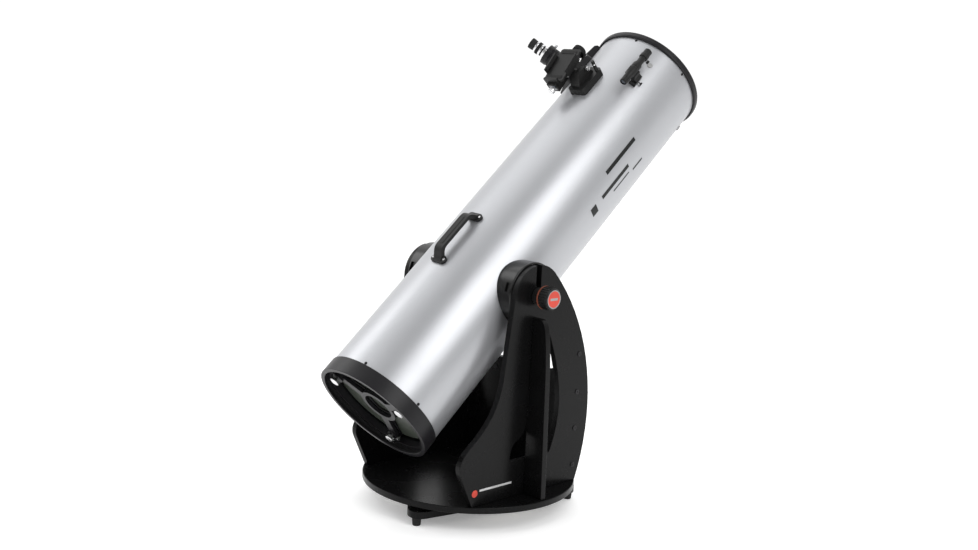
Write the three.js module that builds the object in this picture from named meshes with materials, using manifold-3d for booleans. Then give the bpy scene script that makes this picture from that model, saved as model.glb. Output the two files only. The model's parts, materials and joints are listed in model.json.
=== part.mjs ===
// Twelve-inch Newtonian telescope on a tilting and turning rocker mount.
// Millimetres, +Z up. +X runs along the tilt axle, +Y is the side that the open end leans to.
// The tube is drawn in its own frame: X across, Y along the tube from its rear rim, Z out of its top.

import * as THREE from 'three';
import { mergeVertices } from 'three/addons/utils/BufferGeometryUtils.js';
import Module from 'manifold-3d';

const wasm = await Module();
wasm.setup();

// ---- driving dimensions ----

const gap = 0.3;                  // air left between touching pieces
const seatGap = 0.6;              // air under a piece that sits on the tube, and round the pivot bolt
const board = 18;                 // thickness of every upright board and of the turning disc

const groundBoardBottom = 24;
const groundBoardThickness = 20;
const footCircle = 302;           // feet lie on this radius
const footAngles = [-71, 49, 169];
const cornerCircle = 284;         // the ground board's round corners are centred on this radius
const cornerRadius = 36;
const padTop = 50;
const padInner = 180;             // the sliding pads reach from this radius to the next one
const padOuter = 222;
const glideRadius = 240;

const discRadius = 316;
const discBottom = 56;
const discTop = discBottom + board;
const pivotBoltRadius = 6;
const hexagonReach = 11;          // middle to corner of the pivot bolt's head and nut

const axleHeight = 646.3;
const axleForward = 6;            // the tilt axle is this far in front of the turning axle
const panelInner = 218;           // inner face of each side panel, from the middle
const panelOuter = panelInner + board;
const headForward = 9;            // middle of a side panel's round head
const headHeight = 641;
const headRadius = 92;
const axleRadius = 7.5;
const slotHalfWidth = 10;
const frontEdgeCentre = new THREE.Vector2(-343, 285);
const windowFloor = 178;
const frontBoardMiddle = 197;
const frontBoardTop = 488;        // the two horns beside the scoop
const scoopFloor = 389;
const finReach = 308;             // outer edge of a fin at the disc
const finHeight = 585;

const tubeTilt = 41.14;
const tubeRadius = 177.5;
const tubeWall = 1;
const tubeLength = 1452;          // rim to rim, with both end rings
const axleFromRear = 510;
const rearRingWidth = 47.6;
const rearRingRadius = 180.5;
const frontRingWidth = 21.7;
const frontRingRadius = 185.3;
const ringLip = 6;
const tubeSides = 48;

const trunnionRadius = 92;
const washerRadius = 25;
const threadRadius = 5;
const threadEnd = 284;
const knobRadius = 33;
const knobBack = 258;
const knobFace = 298;

const mirrorRadius = 152.5;
const mirrorBack = 42.3;
const mirrorThickness = 36;
const focalLength = 1500;
const cellBack = 26;
const cellFront = 36;
const collimationCircle = 138;
const collimationAngles = [-46, 74, 194];
const bossRadius = 17;

const focuserAngle = -45;         // turned from the top of the tube towards +X
const focuserPlace = 1295;
const focuserHole = 34;
const drawtubeRadius = 28.4;
const drawtubeBore = 25.6;
const collarBottom = 262.4;       // heights on the focuser are measured from the tube's middle
const collarTop = 303;
const focusAxleRadius = 3.5;
const focusAxleSide = 35;
const focusAxleHeight = 220;
const spiderPlace = 1361;
const spiderHubRadius = 25;
const spiderHubHalf = 20;
const vaneThickness = 1.5;
const secondaryRadius = 35;
const secondaryThickness = 10;

const finderAngle = 45;
const finderSide = -26;
const finderHeight = 220;
const finderRear = 1222;
const finderFront = 1370;
const handlePlace = 518;
const handleAngle = 4.5;
const handleTop = 213;
const handleLeg = 86;             // each leg's distance from the handle's middle
const handleWidth = 30;

const dockHinge = new THREE.Vector3(-8, 1196, 226);
const dockLean = 10;
const dockPlate = 244;            // underside of the cradle's back plate

const degrees = THREE.MathUtils.degToRad;

// ---- geometry helpers ----

// One closed body: corners merged, slivers dropped, faces pointing out.
function weld(geometry) {
  const bare = geometry.clone();
  bare.deleteAttribute('normal');
  bare.deleteAttribute('uv');
  const merged = mergeVertices(bare, 1e-3);
  const corners = merged.index.array;
  const kept = [];
  for (let i = 0; i < corners.length; i += 3) {
    const [a, b, c] = [corners[i], corners[i + 1], corners[i + 2]];
    if (a !== b && b !== c && c !== a) kept.push(a, b, c);
  }
  if (volume(merged.getAttribute('position'), kept) < 0) kept.reverse();
  merged.setIndex(kept);
  return merged;
}

function volume(places, corners) {
  const [a, b, c] = [new THREE.Vector3(), new THREE.Vector3(), new THREE.Vector3()];
  let sum = 0;
  for (let i = 0; i < corners.length; i += 3) {
    a.fromBufferAttribute(places, corners[i]);
    b.fromBufferAttribute(places, corners[i + 1]);
    c.fromBufferAttribute(places, corners[i + 2]);
    sum += a.dot(b.cross(c));
  }
  return sum;
}

function toSolid(geometry) {
  const welded = weld(geometry);
  return new wasm.Manifold(new wasm.Mesh({
    numProp: 3,
    vertProperties: new Float32Array(welded.getAttribute('position').array),
    triVerts: new Uint32Array(welded.index.array),
  }));
}

function toGeometry(solid) {
  const mesh = solid.getMesh();
  const geometry = new THREE.BufferGeometry();
  geometry.setAttribute('position', new THREE.BufferAttribute(mesh.vertProperties, 3));
  geometry.setIndex(new THREE.BufferAttribute(mesh.triVerts, 1));
  return geometry;
}

function join(...shapes) {
  return toGeometry(shapes.map(toSolid).reduce((whole, next) => whole.add(next)));
}

function cut(shape, ...tools) {
  return toGeometry(tools.map(toSolid).reduce((whole, tool) => whole.subtract(tool), toSolid(shape)));
}

function overlap(shape, other) {
  return toGeometry(toSolid(shape).intersect(toSolid(other)));
}

// A profile of [radius, height] points turned round the Y axis.
function turned(profile, sides = 24) {
  return new THREE.LatheGeometry(profile.map(([r, y]) => new THREE.Vector2(r, y)), sides);
}

// A ring or sleeve turned round the Y axis.
function sleeve(outer, inner, low, high, sides = 24) {
  return turned([[inner, low], [outer, low], [outer, high], [inner, high], [inner, low]], sides);
}

function rod(radius, low, high, sides = 20) {
  return turned([[0, low], [radius, low], [radius, high], [0, high]], sides);
}

// Turned shapes stand on Y; these lay them along Z or X.
const upright = (geometry) => geometry.rotateX(Math.PI / 2);
const across = (geometry) => geometry.rotateZ(-Math.PI / 2);

function block(x0, x1, y0, y1, z0, z1) {
  const box = new THREE.BoxGeometry(x1 - x0, y1 - y0, z1 - z0);
  return box.translate((x0 + x1) / 2, (y0 + y1) / 2, (z0 + z1) / 2);
}

// An outline drawn in X and Y, raised from one height to another.
function slab(outline, low, high, curveSegments = 8) {
  const options = { depth: high - low, bevelEnabled: false, curveSegments };
  return new THREE.ExtrudeGeometry(outline, options).translate(0, 0, low);
}

// An outline drawn as (Y, Z), pushed along X.
function boardAcross(outline, x0, x1, curveSegments) {
  const turn = new THREE.Matrix4().makeBasis(
    new THREE.Vector3(0, 1, 0), new THREE.Vector3(0, 0, 1), new THREE.Vector3(1, 0, 0));
  return slab(outline, x0, x1, curveSegments).applyMatrix4(turn);
}

// An outline drawn as (X, Z), pushed along Y.
function boardAlong(outline, y0, y1, curveSegments) {
  return slab(outline, -y1, -y0, curveSegments).rotateX(Math.PI / 2);
}

function roundedRectangle(x0, x1, y0, y1, radius) {
  const outline = new THREE.Shape();
  outline.absarc(x1 - radius, y1 - radius, radius, 0, Math.PI / 2);
  outline.absarc(x0 + radius, y1 - radius, radius, Math.PI / 2, Math.PI);
  outline.absarc(x0 + radius, y0 + radius, radius, Math.PI, 1.5 * Math.PI);
  outline.absarc(x1 - radius, y0 + radius, radius, 1.5 * Math.PI, 2 * Math.PI);
  return outline;
}

function circle(x, y, radius) {
  return new THREE.Path().absarc(x, y, radius, 0, 2 * Math.PI);
}

function outlineOf(points) {
  return new THREE.Shape(points.map(([x, y]) => new THREE.Vector2(x, y)));
}

const mirrored = (geometry) => geometry.clone().scale(-1, 1, 1);

// What is left of a piece when it sits on the outside of the tube.
function seatedOnTube(shape) {
  return cut(shape, rod(tubeRadius + seatGap, 0, tubeLength, tubeSides));
}

// ---- finishes ----

const finishes = {
  silver: { color: 0xb9bcc0, roughness: 0.3, metalness: 0.7 },
  black: { color: 0x141416, roughness: 0.4, metalness: 0.1 },
  laminate: { color: 0x101113, roughness: 0.3, metalness: 0 },
  rubber: { color: 0x1a1a1c, roughness: 0.8, metalness: 0 },
  steel: { color: 0xc9ccd0, roughness: 0.25, metalness: 1 },
  glass: { color: 0x6f7a6e, roughness: 0.15, metalness: 0 },
  pad: { color: 0xe9e7e0, roughness: 0.6, metalness: 0 },
};

function piece(group, name, geometry, finish) {
  const mesh = new THREE.Mesh(weld(geometry), new THREE.MeshStandardMaterial(finishes[finish]));
  mesh.name = name;
  group.add(mesh);
  return mesh;
}

// ---- ground base ----

function foot() {
  const top = groundBoardBottom - gap;
  return upright(turned([[0, 0], [10.5, 0], [12, 2], [13, top - 4], [13, top], [0, top]], 20));
}

function groundBoard() {
  const outline = new THREE.Shape();
  for (const angle of footAngles) {
    const middle = degrees(angle);
    outline.absarc(cornerCircle * Math.cos(middle), cornerCircle * Math.sin(middle), cornerRadius,
      middle - Math.PI / 3, middle + Math.PI / 3);
  }
  outline.holes.push(circle(0, 0, pivotBoltRadius + seatGap));
  return slab(outline, groundBoardBottom, groundBoardBottom + groundBoardThickness);
}

// A hexagon head below the ground board with a plain shank up through the turning disc.
function pivotBolt() {
  const headTop = groundBoardBottom - gap;
  const head = upright(rod(hexagonReach, headTop - 10, headTop, 6));
  return join(head, upright(rod(pivotBoltRadius, headTop - 2, discTop + 14, 16)));
}

function lockNut() {
  const outline = new THREE.Shape();
  for (let side = 0; side < 6; side += 1) {
    const angle = degrees(60 * side);
    const corner = [hexagonReach * Math.cos(angle), hexagonReach * Math.sin(angle)];
    if (side === 0) outline.moveTo(...corner);
    else outline.lineTo(...corner);
  }
  outline.holes.push(circle(0, 0, pivotBoltRadius + 0.4));
  return slab(outline, discTop + gap, discTop + 10);
}

function azimuthPad() {
  const outline = roundedRectangle(padInner, padOuter, -16, 16, 5);
  return slab(outline, groundBoardBottom + groundBoardThickness + gap, padTop, 4);
}

function buildGroundBase() {
  const base = new THREE.Group();
  piece(base, 'ground_board', groundBoard(), 'laminate');
  piece(base, 'azimuth_pivot_bolt', pivotBolt(), 'steel');
  piece(base, 'azimuth_lock_nut', lockNut(), 'steel');
  footAngles.forEach((angle, index) => {
    const spoke = new THREE.Group();
    spoke.rotation.z = degrees(angle);
    piece(spoke, `foot_${index + 1}`, foot(), 'rubber').position.x = footCircle;
    piece(spoke, `azimuth_pad_${index + 1}`, azimuthPad(), 'pad');
    base.add(spoke);
  });
  return base;
}

// ---- rocker ----

function turningDisc() {
  const hole = pivotBoltRadius + seatGap;
  const bevel = 1.5;
  return upright(turned([
    [hole, discBottom], [discRadius - bevel, discBottom], [discRadius, discBottom + bevel],
    [discRadius, discTop - bevel], [discRadius - bevel, discTop], [hole, discTop], [hole, discBottom],
  ], 60));
}

function glidePlate() {
  return upright(sleeve(glideRadius, pivotBoltRadius + seatGap, padTop + gap, discBottom - gap, 36));
}

// A side panel's outline as (Y, Z): a long bulging front edge, a round head with the axle's slot,
// a straight neck, a hollow sweep out to the rear corner, and a flat bottom on the disc.
function panelOutline() {
  const head = new THREE.Vector2(headForward, headHeight);
  const reach = head.clone().sub(frontEdgeCentre);
  const frontRadius = reach.length() + headRadius;
  const bottom = discTop + gap;
  const bottomAngle = Math.asin((bottom - frontEdgeCentre.y) / frontRadius);
  const slotFront = Math.acos((axleForward + slotHalfWidth - headForward) / headRadius);
  const slotBack = Math.acos((axleForward - slotHalfWidth - headForward) / headRadius);
  const outline = new THREE.Shape();
  outline.absarc(frontEdgeCentre.x, frontEdgeCentre.y, frontRadius, bottomAngle, reach.angle());
  outline.absarc(head.x, head.y, headRadius, reach.angle(), slotFront);
  outline.absarc(axleForward, axleHeight, slotHalfWidth, 0, -Math.PI, true);
  outline.absarc(head.x, head.y, headRadius, slotBack, Math.PI);
  outline.lineTo(-107, 450);
  outline.bezierCurveTo(-116, 350, -150, 300, -225, 244);
  outline.quadraticCurveTo(-275, 205, -254, 167);
  outline.lineTo(-208, bottom);
  return outline;
}

// The sail-shaped window in each side panel, as (Y, Z).
function panelWindow() {
  const window = new THREE.Path();
  window.moveTo(-70, windowFloor);
  window.lineTo(84, windowFloor);
  window.quadraticCurveTo(92, windowFloor, 96, windowFloor + 12);
  window.bezierCurveTo(138, 290, 132, 400, 50, 560);
  window.quadraticCurveTo(-4, 400, -13, 270);
  window.quadraticCurveTo(-20, 246, -47, 234);
  window.quadraticCurveTo(-70, 222, -70, windowFloor);
  return window;
}

function sidePanel() {
  const outline = panelOutline();
  outline.holes.push(panelWindow());
  return boardAcross(outline, panelInner, panelOuter, 9);
}

// The brace outside each side panel, as (X, Z), with its foot on the disc.
function sideFin() {
  const outline = new THREE.Shape();
  outline.moveTo(panelOuter + gap, discTop + gap);
  outline.lineTo(finReach, discTop + gap);
  outline.lineTo(297, 448);
  outline.quadraticCurveTo(292, 530, 284, 562);
  outline.quadraticCurveTo(278, finHeight, 262, finHeight);
  outline.lineTo(panelOuter + gap, finHeight);
  return boardAlong(outline, -board / 2, board / 2);
}

// The front board ties the panels together below the tube; its top is scooped out for the tube.
function frontBoard() {
  const side = panelInner - gap;
  const outline = new THREE.Shape();
  outline.moveTo(-side, discTop + gap);
  outline.lineTo(side, discTop + gap);
  outline.lineTo(side, frontBoardTop);
  outline.lineTo(200, frontBoardTop);
  outline.bezierCurveTo(186, 440, 160, scoopFloor, 110, scoopFloor);
  outline.lineTo(-110, scoopFloor);
  outline.bezierCurveTo(-160, scoopFloor, -186, 440, -200, frontBoardTop);
  outline.lineTo(-side, frontBoardTop);
  return boardAlong(outline, frontBoardMiddle - board / 2, frontBoardMiddle + board / 2);
}

// The U-shaped bearing liner that the axle drops into.
function slotLiner() {
  const outer = slotHalfWidth - gap;
  const inner = axleRadius + 0.4;
  const top = axleHeight + 30;
  const outline = new THREE.Shape();
  outline.moveTo(outer, top);
  outline.absarc(0, axleHeight, outer, 0, -Math.PI, true);
  outline.lineTo(-outer, top);
  outline.lineTo(-inner, top);
  outline.absarc(0, axleHeight, inner, -Math.PI, 0);
  outline.lineTo(inner, top);
  return boardAcross(outline, panelInner, panelOuter, 6).translate(0, axleForward, 0);
}

function buildRocker() {
  const rocker = new THREE.Group();
  piece(rocker, 'azimuth_disc', turningDisc(), 'laminate');
  piece(rocker, 'azimuth_glide_plate', glidePlate(), 'pad');
  piece(rocker, 'front_board', frontBoard(), 'laminate');
  for (const [shape, name, finish] of [
    [sidePanel(), 'side_panel', 'laminate'],
    [sideFin(), 'side_fin', 'laminate'],
    [slotLiner(), 'slot_liner', 'black'],
  ]) {
    piece(rocker, `${name}_right`, shape, finish);
    piece(rocker, `${name}_left`, mirrored(shape), finish);
  }
  return rocker;
}

// ---- tube and end rings ----

function tubeShell() {
  const shell = sleeve(tubeRadius, tubeRadius - tubeWall, ringLip, tubeLength - ringLip, tubeSides);
  const hole = upright(rod(focuserHole, 0, 250, 32)).translate(0, focuserPlace, 0);
  hole.rotateY(degrees(focuserAngle));
  return cut(shell, hole);
}

function rearRing() {
  const seat = tubeRadius + 0.4;
  return turned([
    [168, 0], [rearRingRadius - 1.5, 0], [rearRingRadius, 1.5], [rearRingRadius, rearRingWidth],
    [seat, rearRingWidth], [seat, ringLip - gap], [168, ringLip - gap], [168, 0],
  ], tubeSides);
}

function frontRing() {
  const seat = tubeRadius + 0.4;
  const back = tubeLength - frontRingWidth;
  const lip = tubeLength - ringLip + gap;
  return turned([
    [seat, back], [frontRingRadius - 2, back], [frontRingRadius, back + 3],
    [frontRingRadius, tubeLength - 3], [frontRingRadius - 3, tubeLength],
    [171, tubeLength], [171, lip], [seat, lip], [seat, back],
  ], tubeSides);
}

// ---- primary mirror and its cell ----

// A spoke drawn towards the top of the tube and turned to its angle.
const atAngle = (geometry, angle) => geometry.rotateY(degrees(angle));

function mirrorCell() {
  const hub = sleeve(59, 45, cellBack, cellFront, 32);
  const rim = sleeve(tubeRadius - tubeWall - 0.5, 160, cellBack - 6, cellFront + 4, tubeSides);
  const arm = () => block(-13, 13, cellBack, cellFront, 52, 166);
  const arms = collimationAngles.map((angle) => atAngle(arm(), angle));
  const boss = () => rod(bossRadius, cellBack - 6, cellFront, 20).translate(0, 0, collimationCircle);
  const bosses = collimationAngles.map((angle) => atAngle(boss(), angle));
  const holes = collimationAngles.map((angle) => atAngle(
    rod(4.8, 0, 60, 12).translate(0, 0, collimationCircle), angle));
  return cut(join(hub, rim, ...arms, ...bosses), ...holes);
}

function collimationKnob() {
  return turned([
    [0, 4], [12, 4], [14, 5.5], [14, 14], [6, 15], [4, 16], [4, cellFront + 1], [0, cellFront + 1],
  ], 20).translate(0, 0, collimationCircle);
}

// The three-armed plate that carries the mirror in front of the fixed cell.
function mirrorPlate() {
  const [low, high] = [cellFront + 1.6, mirrorBack - gap];
  const hub = sleeve(52, 38, low, high, 40);
  const arms = collimationAngles.map((angle) => atAngle(block(-18, 18, low, high, 46, 150), angle));
  return join(hub, ...arms);
}

function primaryMirror() {
  const face = mirrorBack + mirrorThickness;
  const hollow = (r) => face - (mirrorRadius ** 2 - r ** 2) / (4 * focalLength);
  const rings = [0, 55, 110, mirrorRadius - 1.5].map((r) => [r, hollow(r)]);
  return turned([
    ...rings, [mirrorRadius, face - 2], [mirrorRadius, mirrorBack], [0, mirrorBack],
  ], tubeSides);
}

function buildPrimary(tube) {
  piece(tube, 'mirror_cell', mirrorCell(), 'black');
  piece(tube, 'mirror_plate', mirrorPlate(), 'black');
  piece(tube, 'primary_mirror', primaryMirror(), 'glass');
  collimationAngles.forEach((angle, index) => {
    piece(tube, `collimation_knob_${index + 1}`, atAngle(collimationKnob(), angle), 'steel');
  });
}

// ---- spider and secondary mirror ----

function spiderVane() {
  const half = vaneThickness / 2;
  const outer = tubeRadius - tubeWall - seatGap;
  return block(-half, half, spiderPlace - 15, spiderPlace + 15, spiderHubRadius + gap, outer);
}

// A slice parallel to the slanting mirror's face, between two depths behind it.
function behindFace(near, far) {
  const slice = block(-60, 60, -90, 90, -far, -near);
  return slice.rotateX(degrees(45)).translate(0, focuserPlace, 0);
}

function buildSecondary(tube) {
  const back = spiderPlace - spiderHubHalf - 4;
  const column = rod(secondaryRadius, focuserPlace - 60, back, 40);
  const stem = rod(6, back - 4, spiderPlace - spiderHubHalf - gap, 16);
  const hub = rod(spiderHubRadius, spiderPlace - spiderHubHalf, spiderPlace + spiderHubHalf, 32);
  piece(tube, 'spider_hub', hub, 'black');
  for (let vane = 0; vane < 4; vane += 1) {
    piece(tube, `spider_vane_${vane + 1}`, atAngle(spiderVane(), 45 + 90 * vane), 'black');
  }
  const aimed = new THREE.Group();
  aimed.rotation.y = degrees(focuserAngle);
  piece(aimed, 'secondary_mirror', overlap(column, behindFace(0, secondaryThickness)), 'glass');
  const holder = overlap(column, behindFace(secondaryThickness + gap, 200));
  piece(aimed, 'secondary_holder', join(holder, stem), 'black');
  tube.add(aimed);
}

// ---- tilt bearings, axles and tension knobs ----

function trunnion() {
  return seatedOnTube(across(rod(trunnionRadius, 100, panelInner - gap, 40)).translate(0, axleFromRear, 0));
}

function axle() {
  const shoulder = knobBack - 0.5;
  return across(turned([
    [0, panelInner], [axleRadius, panelInner], [axleRadius, shoulder],
    [threadRadius, shoulder], [threadRadius, threadEnd], [0, threadEnd],
  ], 24));
}

function tensionWasher() {
  return across(sleeve(washerRadius, axleRadius + 0.5, panelOuter + 0.5, knobBack - 0.5));
}

// A ribbed knob with a blind hole for the axle's threaded end.
function tensionKnob() {
  const grip = new THREE.Shape();
  const steps = 36;
  for (let step = 0; step < steps; step += 1) {
    const angle = (2 * Math.PI * step) / steps;
    const radius = step % 3 === 0 ? knobRadius - 2 : knobRadius;
    const corner = [radius * Math.cos(angle), radius * Math.sin(angle)];
    if (step === 0) grip.moveTo(...corner);
    else grip.lineTo(...corner);
  }
  const ribbed = boardAcross(grip, knobBack + 8, knobFace - 3);
  const body = across(turned([
    [0, knobBack], [knobRadius, knobBack], [knobRadius, knobBack + 4], [knobRadius - 4, knobBack + 6],
    [knobRadius - 4, knobFace - 2], [knobRadius - 6, knobFace], [0, knobFace],
  ], 24));
  return cut(join(body, ribbed), across(rod(threadRadius + 0.5, knobBack - 5, threadEnd + 4, 16)));
}

function buildBearings(tube) {
  piece(tube, 'trunnion_right', trunnion(), 'black');
  piece(tube, 'trunnion_left', mirrored(trunnion()), 'black');
  for (const [shape, name, finish] of [
    [axle(), 'tilt_axle', 'steel'],
    [tensionWasher(), 'tension_washer', 'black'],
    [tensionKnob(), 'tension_knob', 'black'],
  ]) {
    piece(tube, `${name}_right`, shape, finish).position.y = axleFromRear;
    piece(tube, `${name}_left`, mirrored(shape), finish).position.y = axleFromRear;
  }
}

// ---- carrying handle ----

// The bar's side view is drawn as (along the tube, height over the tube's middle).
function handle() {
  const under = handleTop - 10;
  const [outer, inner] = [handleLeg + 10, handleLeg - 8];
  const side = new THREE.Shape();
  side.moveTo(-outer, 150);
  side.lineTo(-outer, 185);
  side.bezierCurveTo(-80, 188, -80, handleTop, -56, handleTop);
  side.lineTo(56, handleTop);
  side.bezierCurveTo(80, handleTop, 80, 188, outer, 185);
  side.lineTo(outer, 150);
  side.lineTo(inner, 150);
  side.lineTo(inner, 181);
  side.bezierCurveTo(70, 185, 68, under, 50, under);
  side.lineTo(-50, under);
  side.bezierCurveTo(-68, under, -70, 185, -inner, 181);
  side.lineTo(-inner, 150);
  const bar = boardAcross(side, -handleWidth / 2, handleWidth / 2);
  const feet = [-handleLeg, handleLeg].map((along) => {
    const sole = roundedRectangle(-27, 27, along - 13, along + 13, 12);
    return slab(sole, 160, 184, 4);
  });
  return atAngle(seatedOnTube(join(bar, ...feet).translate(0, handlePlace, 0)), handleAngle);
}

// ---- red-dot finder ----

const inFinder = (geometry) => geometry.translate(finderSide, 0, finderHeight);

function finderFoot() {
  const section = outlineOf([[-17, 160], [6, 160], [6, 186], [4, 194], [-14, 194], [-17, 186]]);
  return seatedOnTube(boardAlong(section, 1262, 1300));
}

function finderBracket() {
  const section = outlineOf([
    [-16, 194.4], [6, 194.4], [6, 200], [-4, 204], [-8, 214], [-42, 214], [-42, 205], [-21, 201],
  ]);
  const hug = inFinder(rod(15, finderRear, finderFront, 24));
  return cut(boardAlong(section, 1266, 1296), hug);
}

function finderBody() {
  const hole = 8;
  return inFinder(turned([
    [hole, finderRear], [12, finderRear], [12, 1254], [14.4, 1262], [14.4, 1304], [10.5, 1312],
    [10.5, 1336], [14, 1336], [14, 1350], [12.5, 1350], [12.5, finderFront], [hole, finderFront],
    [hole, finderRear],
  ], 20));
}

function finderDial() {
  return across(rod(6, 0, 8, 12)).translate(finderSide + 14.4, 1339, finderHeight - 6);
}

function buildFinder(tube) {
  const finder = new THREE.Group();
  finder.rotation.y = degrees(finderAngle);
  piece(finder, 'finder_foot', finderFoot(), 'black');
  piece(finder, 'finder_bracket', finderBracket(), 'black');
  piece(finder, 'finder_body', finderBody(), 'black');
  piece(finder, 'finder_dial', finderDial(), 'black');
  tube.add(finder);
}

// ---- focuser and eyepiece ----

function focuserBase() {
  const plate = slab(roundedRectangle(-50, 50, focuserPlace - 63, focuserPlace + 63, 14), 140, 191, 5);
  const prow = outlineOf([[1350, 160], [1426, 160], [1426, 190], [1418, 197], [1350, 203]]);
  const bore = upright(rod(32, 0, 300, 32)).translate(0, focuserPlace, 0);
  return seatedOnTube(cut(join(plate, boardAcross(prow, -19, 19)), bore));
}

// Turned shapes that stand out of the tube at the focuser's place.
const onFocuser = (geometry) => upright(geometry).translate(0, focuserPlace, 0);

function focuserHousing() {
  const body = onFocuser(rod(42, 191.4, 236, 32));
  const ear = block(10, focusAxleSide + 13, focuserPlace - 38, focuserPlace + 38, 204, 233);
  const bore = onFocuser(rod(drawtubeRadius + 0.7, 150, 260, 32));
  const axleHole = rod(focusAxleRadius + 0.5, 0, tubeLength, 16);
  return cut(join(body, ear), bore, axleHole.translate(focusAxleSide, 0, focusAxleHeight));
}

function focusAxle() {
  const pin = rod(focusAxleRadius, focuserPlace - 56, focuserPlace + 56, 12);
  return pin.translate(focusAxleSide, 0, focusAxleHeight);
}

function focusKnob(direction) {
  const bore = focusAxleRadius + 0.4;
  const knob = turned([
    [bore, 42], [14, 42], [15, 47], [22, 48], [22, 65], [0, 65], [0, 57], [bore, 57], [bore, 42],
  ], 20);
  if (direction < 0) knob.rotateX(Math.PI);
  return knob.translate(focusAxleSide, focuserPlace, focusAxleHeight);
}

function drawtube() {
  return onFocuser(sleeve(drawtubeRadius, drawtubeBore, 168, collarBottom - 0.4, 32));
}

function drawtubeCollar() {
  return onFocuser(turned([
    [drawtubeBore, collarBottom], [31, collarBottom], [31, 284], [33, 286], [33, collarTop],
    [drawtubeBore, collarTop], [drawtubeBore, collarBottom],
  ], 24));
}

function collarScrew() {
  return turned([
    [0, 33.4], [2.4, 33.4], [2.4, 38], [5, 39], [5, 49.5], [0, 49.5],
  ], 12).translate(0, focuserPlace, 294);
}

// An adapter barrel inside the collar, then the eyepiece with its bright and ribbed bands.
function eyepiece() {
  return onFocuser(turned([
    [0, 276], [drawtubeBore - 0.5, 276], [drawtubeBore - 0.5, collarTop + 0.4], [21, collarTop + 0.4],
    [21, 312], [18, 313], [18, 320], [20.5, 321], [20.5, 341], [17.5, 343], [17.5, 351], [18, 364],
    [12, 361], [0, 361],
  ], 24));
}

function buildFocuser(tube) {
  const focuser = new THREE.Group();
  focuser.rotation.y = degrees(focuserAngle);
  piece(focuser, 'focuser_base', focuserBase(), 'black');
  piece(focuser, 'focuser_housing', focuserHousing(), 'black');
  piece(focuser, 'focus_axle', focusAxle(), 'steel');
  piece(focuser, 'focus_knob_front', focusKnob(1), 'black');
  piece(focuser, 'focus_knob_rear', focusKnob(-1), 'black');
  piece(focuser, 'drawtube', drawtube(), 'steel');
  piece(focuser, 'drawtube_collar', drawtubeCollar(), 'black');
  piece(focuser, 'collar_screw', collarScrew(), 'steel');
  piece(focuser, 'eyepiece', eyepiece(), 'black');
  tube.add(focuser);
}

// ---- telephone dock ----

// A saddle on the tube with a pedestal that carries the cradle's hinge.
function dockBase() {
  const saddle = slab(roundedRectangle(-24, 38, 1150, 1260, 12), 150, 197, 5);
  const side = outlineOf([[1162, 190], [1246, 190], [1222, 232], [1184, 232]]);
  const pedestal = boardAcross(side, dockHinge.x - 12, dockHinge.x + 24);
  const room = across(rod(13, -40, 12, 24)).translate(...dockHinge.toArray());
  const post = upright(rod(5.5, 185, 236, 20)).translate(32, 1242, 0);
  return seatedOnTube(join(cut(join(saddle, pedestal), room), post));
}

// The cradle that the telephone lies in: a back plate, a ledge, a fixed side jaw and the mirror hood.
function dockCradle() {
  const plate = slab(roundedRectangle(-92, -14, 1142, 1268, 8), dockPlate, dockPlate + 6, 4);
  const ledge = block(-80, -26, 1136, 1143, 236, 262);
  const jaw = slab(roundedRectangle(-15, -9, 1170, 1240, 2.5), 236, 264, 3);
  const hood = block(-72, -34, 1128, 1180, 216, 245);
  const lug = across(rod(11, -20, 10, 24)).translate(...dockHinge.toArray());
  const neck = block(dockHinge.x - 20, dockHinge.x - 13, dockHinge.y - 10, dockHinge.y + 10, 222, 246);
  return join(plate, ledge, jaw, hood, lug, neck);
}

function dockJaw() {
  const jaw = slab(roundedRectangle(-99, -93, 1170, 1240, 2.5), 236, 264, 3);
  const slide = block(-97, -40, 1190, 1220, 237, dockPlate - 0.5);
  return join(jaw, slide);
}

function dockKnob() {
  const knob = turned([
    [0, 1110], [10, 1110], [11, 1112], [11, 1120], [9, 1122], [4, 1123], [4, 1127.6], [0, 1127.6],
  ], 20);
  return knob.translate(-53, 0, 230);
}

function buildDock(tube) {
  piece(tube, 'dock_base', dockBase(), 'black');
  const cradle = new THREE.Group();
  cradle.position.copy(dockHinge);
  cradle.rotation.x = degrees(dockLean);
  for (const [shape, name, finish] of [
    [dockCradle(), 'dock_cradle', 'black'],
    [dockJaw(), 'dock_jaw', 'black'],
    [dockKnob(), 'dock_knob', 'steel'],
  ]) {
    piece(cradle, name, shape.translate(-dockHinge.x, -dockHinge.y, -dockHinge.z), finish);
  }
  tube.add(cradle);
}

// ---- whole telescope ----

function buildTube() {
  const tube = new THREE.Group();
  piece(tube, 'tube_shell', tubeShell(), 'silver');
  piece(tube, 'rear_ring', rearRing(), 'black');
  piece(tube, 'front_ring', frontRing(), 'black');
  piece(tube, 'carry_handle', handle(), 'black');
  buildPrimary(tube);
  buildSecondary(tube);
  buildBearings(tube);
  buildFinder(tube);
  buildFocuser(tube);
  buildDock(tube);
  tube.position.y = -axleFromRear;
  const tilted = new THREE.Group();
  tilted.position.set(0, axleForward, axleHeight);
  tilted.rotation.x = degrees(tubeTilt);
  tilted.add(tube);
  return tilted;
}

const telescope = new THREE.Group();
telescope.add(buildGroundBase(), buildRocker(), buildTube());

// The origin is the middle of the footprint, on the ground.
const footprint = new THREE.Box3().setFromObject(telescope, true);
telescope.position.y = -(footprint.min.y + footprint.max.y) / 2;
telescope.position.x = -(footprint.min.x + footprint.max.x) / 2;

export default telescope;
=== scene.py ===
import json
import math
import bmesh
import bpy
from mathutils import Matrix, Quaternion, Vector


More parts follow.
